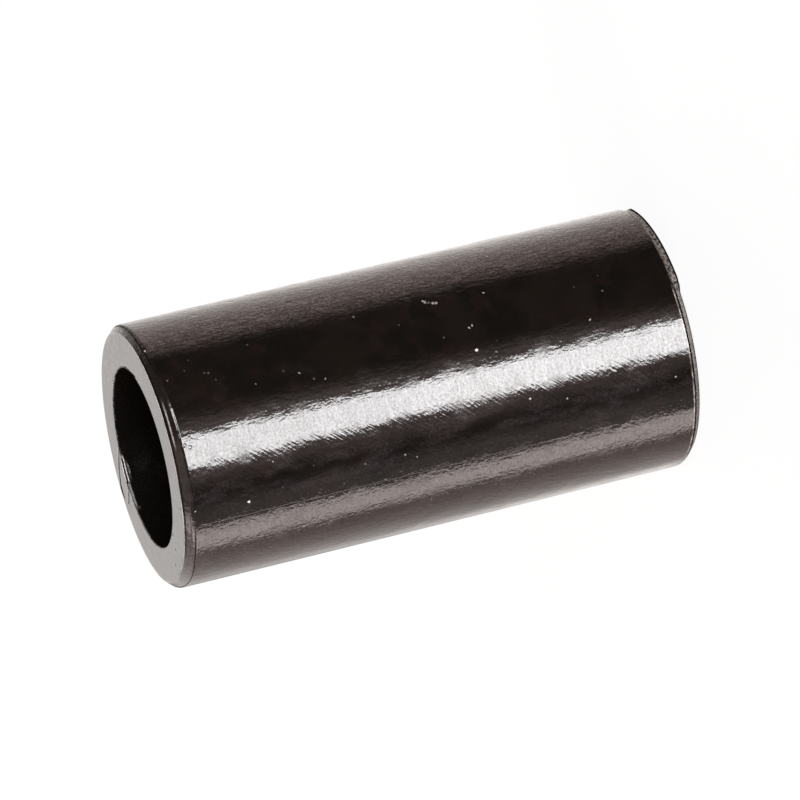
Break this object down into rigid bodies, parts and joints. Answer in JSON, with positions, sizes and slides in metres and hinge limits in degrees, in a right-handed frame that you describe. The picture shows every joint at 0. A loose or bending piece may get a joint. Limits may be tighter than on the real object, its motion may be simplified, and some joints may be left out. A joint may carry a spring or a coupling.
{
  "type": "plain bushing",
  "caption": "Plain thick-walled steel bushing: a straight sleeve with a through bore, flat end faces and a small outer lead at each end.",
  "frame": {"origin": "centre of the lower end face, on the axis of the bore", "axes": "+Z along the axis of the bore, from the lower end face to the upper one, whose rim is bruised towards +Y"},
  "size_m": [0.022, 0.022, 0.0447],
  "materials": {
    "black_finish": "glossy brown-black coat on turned steel"
  },
  "bodies": {
    "root": {"sleeve": "black_finish"}
  },
  "joints": []
}
